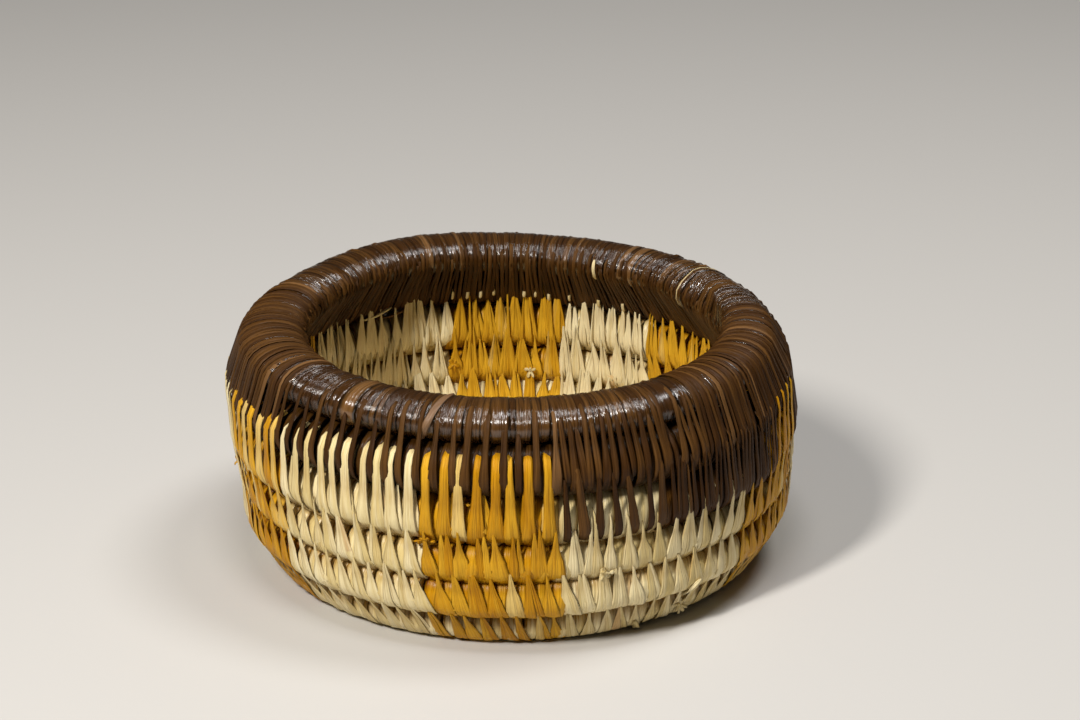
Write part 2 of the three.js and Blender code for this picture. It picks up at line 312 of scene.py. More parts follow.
def lay_strip(cut, node, line, length, angles, width, crown, side, dye, painted_shade, roll=0.0,
              pressed=0.0, tone=None, tint=None):
    """Lays a cut strip along a line over the coil: line holds distance from the axis and
    height, angles how far round, width and crown the strip's size at each station, and
    painted_shade the painted shade there: a darkening of its colour that stands in for the
    shadow in grooves and between neighbours. Pleats come and go along the strip, and roll
    turns it about its length. pressed is 1 for wraps and 0 for stitches. tone and
    tint choose its colour, at random where they aren't given; tone is set higher
    on inside strips, which paints light on them."""
    radians = np.radians(angles)
    sine, cosine = np.sin(radians), np.cos(radians)
    middle = np.stack([line[:, 0] * sine, -line[:, 0] * cosine, line[:, 1]], axis=1)
    ahead = np.gradient(middle, axis=0)
    ahead /= np.linalg.norm(ahead, axis=1)[:, None]
    slope = np.gradient(line, axis=0)
    slope /= np.linalg.norm(slope, axis=1)[:, None]
    flat = np.stack([-slope[:, 1] * side, slope[:, 0] * side], axis=1)
    out = np.stack([flat[:, 0] * sine, -flat[:, 0] * cosine, flat[:, 1]], axis=1)
    across = np.cross(out, ahead)
    across /= np.linalg.norm(across, axis=1)[:, None]
    i = cut["at"]
    share = i / cut["stations"]
    uneven = 1 + 0.03 * chance.uniform(-1, 1, len(line))
    v = cut["across"] * (width * uneven)[i] / 2
    first, last = chance.uniform(0.3 + 0.5 * pressed, 1.35 - 0.2 * pressed, (2, 3))
    pleats = first[cut["pleat"]] * (1 - share) + last[cut["pleat"]] * share
    h = cut["crown"] * crown[i] * pleats
    turned = np.radians(roll) * np.ones(len(line))
    v, h = (v * np.cos(turned[i]) - h * np.sin(turned[i]),
            v * np.sin(turned[i]) + h * np.cos(turned[i]))
    points = middle[i] + across[i] * v[:, None] + out[i] * h[:, None]
    points[:, 0] += SKEW * np.clip(1 - points[:, 2] / SKEW_HEIGHT, 0, 1)
    points[:, 2] = np.maximum(points[:, 2], GROUND)
    uv = np.stack([share * length / 10, (cut["across"] + 1) / 2], axis=1)
    look = {"tone": chance.random() if tone is None else tone,
            "tint": chance.random() if tint is None else tint, "pressed": pressed}
    pieces.setdefault(node, []).append((cut, points, uv, DYES.index(dye), look, painted_shade[i]))


def band_of(angle):
    """Number of the band of dye at an angle."""
    return next(i for i, (end, _) in enumerate(BANDS) if angle < end + 1e-6)


def node_of(turn, angle):
    """CAD node that holds a turn's wraps at an angle."""
    band = band_of(angle)
    if turn >= TOP_ROW:
        return f"{'rim' if turn == RIM else 'row5'}_wraps_{band // 3 + 1}"
    if turn <= FLOOR_TURNS:
        last = turn == FLOOR_TURNS and band == len(BANDS) - 1
        return "floor_turn_up_wraps" if last else "floor_wraps"
    dye = BANDS[band][1]
    if turn == TOP_ROW - 1 and band in (8, 10, 11):      # the last two are one brown node
        band, dye = min(band, 10), "brown"
    return f"row{turn - FLOOR_TURNS}_wraps_{band + 1:02d}_{dye}"


def dye_at(turn, angle):
    """Dye of the long stitches of a turn."""
    if turn >= TOP_ROW:
        return "brown"
    if turn <= FLOOR_TURNS:
        return "ochre" if node_of(turn, angle) == "floor_turn_up_wraps" else "cream"
    brown = PATCH_START <= angle < PATCH_END or angle >= BROWN_START
    if turn == TOP_ROW - 1 and brown:
        return "brown"
    return BANDS[band_of(angle)][1]


def wrap_dye_at(turn, angle):
    """Dye of the wraps under the long stitches."""
    dye = dye_at(turn, angle)
    if turn == FLOOR_TURNS + 1 and dye == "ochre":
        return "cream"
    if turn == FLOOR_TURNS + 2 and band_of(angle) == 1:
        return "cream"
    if turn == TOP_ROW - 1 and PATCH_START <= angle < PATCH_SINGLE:
        return "cream"
    return dye


def vary(middle, spread):
    """A number that strays from the middle by up to this share of it."""
    return middle * (1 + spread * chance.uniform(-1, 1))


def wind_wrap(turn, angle, step, cut, base, crown, dye, fill=1.12, tint=None, slant=0.6,
              shade=0.0):
    """One wrap round the coil, with its ends in the groove to the turn before. base is its
    height over the coil, fill its width in steps from wrap to wrap, slant how many steps it
    runs aside, and shade the least painted shade on it: darker colour standing in for the
    shadow between its neighbours."""
    count = cut["stations"] + 1
    swell = 0.5 - base          # closes the grooves to its neighbours
    if turn == RIM:
        swell = 0.1
    elif turn == TOP_ROW and angle > RIM_SEAM - 4:
        swell = 0.0             # the strips of the rim's end lie close over it
    dense = around(turn, angle, WRAP_START, WRAP_END, base, 44, fill=swell)
    line, length = even_points(dense, count)
    line[:, 1] = np.maximum(line[:, 1], LOWEST)
    radius = np.maximum(line[:, 0], 0.4)
    width = fill * math.radians(step) * radius * vary(1, 0.05)
    angles = angle + slant * step * np.linspace(-0.5, 0.5, count)
    high = np.minimum(crown, 0.45 * width) * vary(1, 0.15)
    high[[0, -1]] *= 0.4
    # painted shade: darker towards the ends, where the wrap runs into the shadow of the
    # grooves; on the rim it is an even, slight darkening instead
    painted_shade = np.abs(np.sin(np.radians(np.linspace(WRAP_START, WRAP_END, count)))) ** 11
    if turn == RIM:
        painted_shade[:] = 0.12
    painted_shade = np.maximum(painted_shade, shade)
    lay_strip(cut, node_of(turn, angle), line, length, angles, width, high, -1, dye, painted_shade,
              pressed=1.0, tint=tint)


def sew(turn, angle, side, start, end, lift, widths, crown, dye, lean, roll, node=None,
        bend=0.0, sag=0.15, tone=None, tint=None, proud=0.8, cut=STITCH):
    """One long stitch, from start on the turn above down over this one to its end. lift is
    its height over those two turns. widths holds its width at the tip, half way to the
    groove, at the groove and at even shares of the way from there to its end. lean is how
    far it runs aside, and bend turns its upper end aside. sag is how far it sinks into the
    groove, and proud how far it stands off the upper part of this turn."""
    count = cut["stations"] + 1
    buried = 0.5 * np.exp(-(np.arange(20) / 1.5) ** 2)
    top = around(turn + 1, angle, start, -100, lift[0] - buried, 20, side)
    low = around(turn, angle, 100, end, lift[1], 20, side)
    tilt = math.radians(section(turn, angle)[4])
    rise = np.maximum(np.sin(np.radians(np.linspace(100, end, 20))), 0)
    low[:, 0] += proud * rise * math.sin(tilt) * side
    low[:, 1] -= proud * rise * math.cos(tilt) * side
    tight = pulled_tight(np.concatenate([top, low]), side)
    line, length = even_points(tight, count)
    step = np.linalg.norm(np.diff(tight, axis=0), axis=1)
    longest = int(np.argmax(step))
    groove = (step[:longest].sum() + step[longest] / 2) / length
    share = np.linspace(0, 1, count)
    below = groove + (1 - groove) * np.linspace(0, 1, len(widths) - 2)
    width = np.interp(share, [0, 0.55 * groove, *below], widths) * vary(1, 0.06)
    inwards = sag * np.exp(-((share - groove) / 0.09) ** 2)
    inwards[-1] += 0.5
    inwards[0] += 0.15
    line[:, 0] -= inwards * math.sin(tilt) * side
    line[:, 1] += inwards * math.cos(tilt) * side
    line[:, 1] = np.maximum(line[:, 1], LOWEST)
    high = np.minimum(crown, 0.42 * width) * vary(1, 0.15)
    angles = angle + lean * (share - 0.5) + bend * (1 - share) ** 3
    # painted shade: darker at the tip, in the groove and most at the foot, where the strip
    # lies in shadow; less of it on the inside, which paints those strips lighter
    painted_shade = np.interp(share, [0, 0.1, 0.8, 1], [0.35, 0, 0.0, 0.9])
    painted_shade += 0.3 * np.exp(-((share - groove) / 0.1) ** 2)
    if side < 0:
        painted_shade *= 0.6
    lay_strip(cut, node or node_of(turn, angle), line, length, angles, width, high, side,
              dye, painted_shade, roll, tone=tone, tint=tint)


def angles_of_turn(count, phase):
    """Places for this many strips in a lap, each a little off its even place, and the step
    between them. phase moves them against those of other turns."""
    step = (LAP_END - LAP_START) / count
    spots = LAP_START + step * (np.arange(count) + phase % 1)
    return [(a + step * chance.uniform(-0.14, 0.14), step) for a in spots
            if LAP_START < a < LAP_END]


def clear_of_edge(angle):
    """Keeps a strip within the lap."""
    return min(max(angle, LAP_START + LAP_MARGIN), LAP_END - LAP_MARGIN)


def bind_floor():
    """The wraps of the coil's start, and wraps and stitches of the floor's turns."""
    for angle, step in angles_of_turn(30, 0.5):
        if climb(angle) > 0.12:
            wind_wrap(0, angle, step, WRAP, -1.0, 0.9, "cream")
    for turn in range(1, FLOOR_TURNS + 1):
        reach = FIRST_TURN + FLOOR_STEP * (turn - 1)
        count = max(round(2 * math.pi * reach / FLOOR_PITCH), 14)
        for angle, step in angles_of_turn(count, 0.37 * turn):
            angle = clear_of_edge(angle)
            dye = dye_at(turn, angle)
            wind_wrap(turn, angle, step, WRAP, -1.0, 0.9, wrap_dye_at(turn, angle))
            pitch = math.radians(step) * section(turn, angle)[0]
            for side in (1, -1):
                stitch_up(turn, angle + step / 2, side, pitch, dye, -35, 0.1)


def stitch_up(turn, angle, side, pitch, dye, tip, lift, lean=0.0, size=1.0):
    """One flame-shaped stitch: pointed on the turn above, broad and flat at its foot. It is
    one strip, or two or three beside each other. tip is its upper end round the section."""
    angle = clear_of_edge(angle)
    broad = pitch * size * chance.uniform(0.98, 1.2)
    neck = vary(0.38, 0.25)
    shares = [(0.0, 1.0)] if chance.random() < 0.45 else [(-0.24, 0.62), (0.22, 0.66)]
    tip += chance.uniform(-12, 12)
    ragged = 6
    if side < 0:
        ragged = 20
        if chance.random() < 0.6:
            shares = [(-0.45, 0.55), (0.0, 0.5), (0.4, 0.6)]
    for beside, share in shares:
        wide = broad * share
        widths = [0.3, 0.62 * neck * pitch, neck * pitch, vary(0.74, 0.14) * wide,
                  vary(0.95, 0.08) * wide, 1.03 * wide, vary(1.05, 0.05) * wide]
        aside = beside * broad / section(turn, angle)[0] * RADIAN
        # strips on the inside are drawn paler, as painted light
        sew(turn, clear_of_edge(angle + 0.6 * aside), side,
            tip + chance.uniform(-ragged, ragged), -82,
            (lift + chance.uniform(0.0, 0.3), lift + chance.uniform(-0.12, 0.16)), widths,
            vary(0.24, 0.35), dye, lean=lean + aside + chance.uniform(-1.1, 1.1),
            roll=chance.uniform(-8, 8), proud=0.28,
            tone=chance.uniform(0.7, 1.6) if side < 0 else None)


def add_thin_stitch(turn, angle, pitch, dye):
    """A thin strip between two stitches on the inside."""
    wide = vary(0.3, 0.3) * pitch
    widths = [0.2, 0.5 * wide, 0.6 * wide, 0.8 * wide, wide, wide, wide]
    # drawn paler, as painted light, like the other inside strips
    sew(turn, clear_of_edge(angle), -1, chance.uniform(-45, 45), -82, (0.25, 0.25),
        widths, 0.28, dye, lean=chance.uniform(-1.5, 1.5), roll=chance.uniform(-12, 12),
        proud=0.35, tone=chance.uniform(0.7, 1.6))


def bind_wall():
    """The four lower wall rows. Outside, the highest of them gets only short stitches,
    which lie under the strips of run_over_two_rows."""
    for turn in range(FLOOR_TURNS + 1, TOP_ROW):
        row = turn - FLOOR_TURNS
        lean = ROW_LEAN[row - 1]
        for angle, step in angles_of_turn(WALL_STITCHES, 0.4 * row):
            base, lift = (chance.uniform(-1.1, -0.7), -0.1) if row < 4 else (-1.5, -0.55)
            wind_wrap(turn, angle, step, WRAP, base, 0.9, wrap_dye_at(turn, angle))
            here = clear_of_edge(angle + step / 2)
            radius, _, _, width, _ = section(turn, here)
            dye = dye_at(turn, here)
            for side in (1, -1):
                pitch = math.radians(step) * (radius + side * width)
                tip = -10.0
                if row == 3 and UNEVEN_START < here < BROWN_START and side > 0:
                    tip = chance.uniform(-12, 46)
                if row == 4 and side > 0:
                    if chance.random() < 0.35 or dye == "brown":
                        continue
                    tip = -48.0
                if side < 0:
                    tip = chance.uniform(-25, 38)
                stitch_up(turn, here, side, pitch, dye, tip, lift, lean if side > 0 else 0,
                          size=1.0 if side > 0 else 1.1)
                if side < 0 and chance.random() < 0.5:
                    add_thin_stitch(turn, here + step / 2, pitch, dye)


def merged(angle):
    """How far the rim and the row under it are bound as one, without a groove."""
    return min(near(angle, RIM_LEFT, 32) + near(angle, RIM_RIGHT, 40), 1)


def bind_under_rim():
    """The row under the rim: brown wraps, brown stitches that come down from the rim, and
    strips of the band's dye that run from under the rim over two rows."""
    for angle, step in angles_of_turn(RIM_STITCHES, 0.25):
        # painted shade on these wraps, which lie under the stitches, and more of it at the
        # right, where the row lies in shadow
        wind_wrap(TOP_ROW, angle, step, WRAP, -1.6, 0.6, "brown",
                  tint=chance.uniform(0, 0.9),
                  shade=0.35 + 0.5 * near(angle, RIM_RIGHT, 44))
        here = clear_of_edge(angle + step / 2)
        risen = climb(here)
        radius, _, _, width, _ = section(TOP_ROW, here)
        if risen < 0.5:
            pitch = math.radians(step) * (radius + width)
            if merged(here) > chance.uniform(0.3, 0.54):
                for beside in (-0.34, 0.0, 0.33):
                    bind_over_both(clear_of_edge(here + beside * step), pitch)
            else:
                come_down(here, pitch, risen)
            come_down_inside(TOP_ROW, here, math.radians(step) * (radius - width), risen)
        run_over_two_rows(clear_of_edge(angle), step)


def come_down(angle, pitch, risen):
    """A brown stitch that comes out from between the rim's wraps and covers this row. At
    the front right a second strip lies beside it."""
    join = merged(angle)
    start = chance.uniform(-12, 95) + 60 * risen + 30 * join
    if DOUBLE_START < angle < BROWN_START:
        wide = vary(0.36, 0.25) * pitch
        widths = [0.5 * wide, 0.8 * wide, 0.9 * wide, wide, wide, wide, 0.7 * wide]
        sew(TOP_ROW, clear_of_edge(angle + 1.6), 1, chance.uniform(-20, 90),
            chance.uniform(-84, -30), (0.1, 0.1), widths, vary(0.4, 0.2), "brown",
            roll=chance.uniform(-14, 14), lean=chance.uniform(-0.5, 1.6), cut=WRAP)
    foot = vary(0.54, 0.22)
    neck = vary(0.34, 0.2) * pitch
    widths = [0.85 * neck if start > 30 else 0.5, neck, neck, 0.44 * pitch,
              (foot - 0.04) * pitch, foot * pitch, foot * pitch]
    sew(TOP_ROW, angle, 1, start, -80, (chance.uniform(-0.3, 0.1), 0.15), widths,
        vary(0.42, 0.2), "brown", roll=chance.uniform(-12, 12),
        lean=chance.uniform(-1.2, 0.8), proud=0.5, cut=WRAP)


def bind_over_both(angle, pitch):
    """A brown strip from inside the rim, over its top and straight down over this row."""
    wide = vary(0.36 - 0.05 * near(angle, RIM_RIGHT, 44), 0.35) * pitch
    widths = [wide, wide, 0.95 * wide, wide, wide, 0.9 * wide, 0.55 * wide]
    if chance.random() < 0.06:
        return
    tan = chance.random() < 0.07
    end = -80 if chance.random() < 0.6 else chance.uniform(-70, -40)
    if near(angle, 270, 18) > 0.5:      # at the left they end higher
        end = chance.uniform(-60, 5)
    sew(TOP_ROW, angle, 1, 165, end, (chance.uniform(0.0, 0.25), 0.1), widths,
        vary(0.4, 0.2), "brown", cut=RIM_WRAP, roll=chance.uniform(-8, 8), sag=0.0,
        lean=chance.uniform(-2.5, 1.0), proud=0.3,
        tint=TAN if tan else chance.uniform(0, 0.9))


def come_down_inside(turn, angle, pitch, risen):
    """Brown strips on the inside, from the turn above down over this one."""
    step = 360 / RIM_STITCHES
    for beside in (-0.36, 0.0, 0.35):
        wide = vary(0.38, 0.3) * pitch
        widths = [0.7 * wide, 0.8 * wide, 0.8 * wide, 0.95 * wide, wide, wide, 0.8 * wide]
        sew(turn, clear_of_edge(angle + beside * step), -1,
            chance.uniform(0, 70) + 40 * risen, chance.uniform(-88, -50), (0.1, -0.1),
            widths, 0.4, "brown", roll=chance.uniform(-14, 14),
            lean=chance.uniform(-1.2, 1.2), tint=chance.uniform(0, 0.9))


def run_over_two_rows(angle, step):
    """A strip in the dye of its band, from under the rim down over the row under it and
    the next. Where that row is brown it is up to three narrower strips."""
    turn = TOP_ROW - 1
    dye = dye_at(turn, angle)
    radius, _, _, width, _ = section(turn, angle)
    pitch = math.radians(step) * (radius + width)
    node = node_of(turn, angle)
    if angle > BROWN_INSIDE:
        come_down_inside(turn, angle, math.radians(step) * (radius - width), 0.5)
    if dye == "brown":
        single = angle < PATCH_SINGLE
        for beside in (0,) if single else (-0.34, 0, 0.34):
            wide = vary(0.56 if single else 0.38, 0.3) * pitch
            widths = [0.3 * wide, 0.6 * wide, 0.7 * wide, 0.85 * wide, wide, wide,
                      0.9 * wide]
            start = vary(5, 5) if angle < BROWN_START else chance.uniform(0, 75)
            sew(turn, clear_of_edge(angle + beside * step), 1, start,
                vary(-74, 0.1), (0.35, 0.2), widths, 0.4, "brown", node=node,
                lean=1.2 + chance.uniform(-1, 1.4), roll=chance.uniform(-14, 14), sag=0.1)
        return
    join = merged(angle)
    wide = vary(1.0, 0.12) * pitch
    top = vary(0.52, 0.22) * pitch
    blunt = 284 < angle < 308           # at the left, next to the close strips
    pointed = join > 0.3 and not blunt
    start = vary(56, 0.06) if join < 0.3 else 50 - 30 * join + chance.uniform(-14, 14)
    widths = [0.3 if pointed else top, 0.8 * top if pointed else top,
              vary(0.6, 0.1) * pitch, 0.72 * wide, 0.93 * wide, 1.03 * wide, wide]
    lift = 0.45 if join > 0.3 else -0.15
    sew(turn, angle, 1, start, -80, (lift, -0.05), widths, 0.42, dye,
        node=node, lean=chance.uniform(-1.0, 0.6), roll=chance.uniform(-9, 9),
        bend=chance.uniform(1.5, 4.2) * near(angle, 286, 22))


def bind_rim_end(angle, step, lift, tint, dye="polished brown", shade=0.12):
    """A strip round the coil and the thin end of the rim on it, as one."""
    count = RIM_WRAP["stations"] + 1
    over = [around(TOP_ROW, angle, -85, 90, lift, 20, -1)]
    if angle < RIM_SEAM:
        over.append(around(RIM, angle, 0, 90, lift, 10, -1))
        over.append(around(RIM, angle, 90, 0, lift, 10))
    over.append(around(TOP_ROW, angle, 90, -85, lift, 20))
    line, length = even_points(pulled_tight(np.concatenate(over), 1), count)
    width = 1.35 * math.radians(step) * line[:, 0] * vary(1, 0.05)
    angles = angle + chance.uniform(-1.4, 0.6) * step * np.linspace(-0.5, 0.5, count)
    # painted shade along the strip, darkest at its ends, where they go into shadow
    painted_shade = np.full(count, shade)
    painted_shade[[0, -1]] = 0.9
    lay_strip(RIM_WRAP, node_of(RIM, angle), line, length, angles, width,
              np.minimum(0.36, 0.45 * width), 1, dye, painted_shade, pressed=1.0, tint=tint)


def bind_rim():
    """The close wraps of the rim, and the pale edge of the strip that ends them."""
    shares = chance.uniform(0.6, 1.5, RIM_WRAPS)      # of the rim's length, for each wrap
    shares *= np.where(chance.random(RIM_WRAPS) < 0.1, 2.0, 1.0)
    shares *= [1 - 0.45 * near(LAP_START + 360 * i / RIM_WRAPS, 288, 45)
               for i in range(RIM_WRAPS)]
    steps = shares / shares.sum() * (LAP_END - LAP_START)
    for angle, step in zip(LAP_START + np.cumsum(steps) - steps / 2, steps):
        tan = any(abs(angle - spot) < step / 2 for spot in TAN_STRIPS)
        tan = tan or chance.random() < 0.012
        tint = TAN if tan else chance.uniform(0, 0.9)
        base = chance.uniform(-0.5, -0.25)
        if climb(angle) > 0.5:
            bind_rim_end(angle, step, base + 0.15, tint)
            continue
        # painted shade on the wraps at the right, where they lie in shadow between the
        # strips that cover them
        wind_wrap(RIM, angle, step, RIM_WRAP, -0.15 if tan else base, 0.36,
                  "polished brown", fill=1.35, tint=tint, slant=chance.uniform(-0.6, 1.4),
                  shade=0.7 * near(angle, RIM_RIGHT, 34))
    # the pale edge, with painted shade along it
    bind_rim_end(RIM_SEAM - 0.4, 0.4, 0.3, TAN, "cream", 0.35)
    bind_rim_end(RIM_SEAM - 1.2, 2.2, 0.2, 0.3)


def loose_strip(turn, side, angles, phi, lifts, width, dye, roll=0.0, tint=None,
                cut=STITCH):
    """A strip that only lies on the coil: angles and phi, which is the place round the
    section, are pairs from end to end, and lifts holds its height over the coil at even
    shares of its length."""
    count = cut["stations"] + 1
    share = np.linspace(0, 1, count)
    middle = (angles[0] + angles[1]) / 2
    lift = np.interp(share, np.linspace(0, 1, len(lifts)), lifts)
    line = around(turn, middle, phi[0], phi[1], lift, count, side)
    length = abs(phi[1] - phi[0]) * 0.14 + abs(angles[1] - angles[0]) * 1.3
    widths = width * np.interp(share, [0, 0.15, 0.85, 1], [0.45, 1, 1, 0.4])
    tilt = roll * np.sin(2.2 * math.pi * share)
    facing = side if phi[1] < phi[0] else -side
    lay_strip(cut, node_of(turn, middle), line, length, np.linspace(*angles, count), widths,
              np.minimum(0.4, 0.4 * widths), facing, dye, np.zeros(count), tilt, tint=tint)


def tuft(turn, side, angle, phi, dye, count, size):
    """Frayed ends of strips that stand out of a groove."""
    radius, _, half, _, _ = section(turn, angle)
    for heading in np.linspace(0, 2 * math.pi, count, endpoint=False):
        heading += chance.uniform(-0.3, 0.3)
        reach = size * chance.uniform(0.6, 1.2)
        along = math.degrees(math.cos(heading) * reach / half)
        along = math.copysign(max(abs(along), 9), along)
        aside = math.degrees(math.sin(heading) * reach / radius)
        loose_strip(turn, side, (angle, angle + aside), (phi, phi + along),
                    (0.7, 1.2, chance.uniform(0.9, 2.2)), chance.uniform(0.7, 1.7), dye,
                    roll=chance.uniform(-40, 40), tint=chance.uniform(0, 0.85))


def add_loose_ends():
    """The frayed ends, the ochre knot, the cream tuft and the strips and pale specks that
    lie on the top row and the rim."""
    tuft(9, 1, 343.6, -52, "ochre", 11, 3.0)
    tuft(8, 1, 378.5, -30, "cream", 7, 2.2)
    tuft(6, 1, 398.5, 50, "cream", 8, 2.4)
    tuft(8, 1, 277.5, 25, "ochre", 5, 1.4)
    tuft(9, 1, 351.0, 55, "ochre", 3, 1.8)
    tuft(8, -1, 196.0, 20, "ochre", 6, 2.4)
    tuft(8, -1, 176.0, -10, "cream", 5, 2.0)
    loose_strip(8, 1, (377.5, 381.0), (-20, -74), (0.5, 0.9, 0.4), 2.2, "cream", 25)
    loose_strip(7, 1, (396.5, 400.5), (-50, 10), (0.4, 0.9, 0.5), 2.0, "cream", 30)
    loose_strip(6, 1, (387.0, 390.5), (40, -60), (0.5, 0.8, 0.2), 2.4, "cream", 50)
    loose_strip(9, 1, (341.6, 345.0), (-66, -58), (0.5, 1.7, 0.5), 1.7, "ochre", 40)
    loose_strip(9, 1, (345.4, 342.0), (-72, -50), (0.5, 1.4, 0.5), 1.5, "ochre", -30)
    loose_strip(RIM, 1, (346.5, 342.0), (118, -40), (0.1, 0.35, 0.2), 2.4, "polished brown",
                tint=TAN, cut=RIM_WRAP)
    loose_strip(TOP_ROW, -1, (205.0, 220.0), (-20, -52), (0.4, 1.7, 0.4), 1.1, "brown",
                tint=TAN, cut=WRAP)
    loose_strip(TOP_ROW, -1, (213.0, 222.0), (-10, -30), (0.4, 1.4, 0.9), 1.0, "cream",
                20, cut=WRAP)
    for angle in (150.0, 157.0, 165.0, 170.5, 174.0, 177.0, 185.0, 188.5, 192.0, 196.0):
        phi = chance.uniform(12, 28)
        loose_strip(TOP_ROW, -1, (angle, angle + 0.2), (phi, phi - chance.uniform(24, 34)),
                    (1.0, 1.3, 1.3, 1.0), chance.uniform(0.9, 1.3), "cream", tint=TAN)
    loose_strip(RIM, -1, (155.5, 155.0), (30, -35), (0.0, 0.3, 0.3, 0.0), 1.2, "cream",
                tint=TAN)
    loose_strip(RIM, 1, (418.3, 418.8), (0, -26), (0.3, 0.8, 0.4), 1.5, "ochre")
    loose_strip(RIM, 1, (408.5, 408.8), (-12, -30), (0.3, 0.7, 0.3), 1.2, "cream", tint=TAN)


bind_floor()
bind_wall()
bind_under_rim()
bind_rim()
add_loose_ends()


# ---- finishes
def new_finish(name):
    """A new finish, its nodes and the surface that they feed."""
    finish = bpy.data.materials.new(name)
    finish.use_nodes = True
    return finish, finish.node_tree, finish.node_tree.nodes["Principled BSDF"]


def tint_of(red, green, blue):
    """A colour as seen on screen, turned into the light that a material reflects."""
    parts = [c / 255 for c in (red, green, blue)]
    return [c / 12.92 if c < 0.04045 else ((c + 0.055) / 1.055) ** 2.4 for c in parts] + [1]


def add_node(tree, kind, **settings):
    """A new node with these settings."""
    node = tree.nodes.new(kind)
    for name, value in settings.items():
        setattr(node, name, value)
    return node


def feed(tree, socket, value):
    """Gives an input a value, which is a number, a colour or the output of a node."""
    if isinstance(value, bpy.types.NodeSocket):
        tree.links.new(value, socket)
    else:
        socket.default_value = value


def number(tree, operation, *values, clamp=False):
    """The result of a calculation with one to three values."""
    node = add_node(tree, "ShaderNodeMath", operation=operation, use_clamp=clamp)
    for socket, value in zip(node.inputs, values):
        feed(tree, socket, value)
    return node.outputs[0]


def blend_colours(tree, share, first, second):
    """The first colour, with this share of the second. The numbers are those of the mix
    node's sockets for colours, whose names it also uses for other kinds."""
    node = add_node(tree, "ShaderNodeMix", data_type="RGBA")
    for socket, value in (("Factor", share), (6, first), (7, second)):
        feed(tree, node.inputs[socket], value)
    return node.outputs[2]


def stretched_noise(tree, place, along, across, scale, detail):
    """Noise drawn out along the strip."""
    stretch = add_node(tree, "ShaderNodeMapping")
    stretch.inputs["Scale"].default_value = (along, across, 1)
    tree.links.new(place, stretch.inputs["Vector"])
    noise = add_node(tree, "ShaderNodeTexNoise")
    noise.inputs["Scale"].default_value = scale
    noise.inputs["Detail"].default_value = detail
    tree.links.new(stretch.outputs[0], noise.inputs["Vector"])
    return noise.outputs["Fac"]


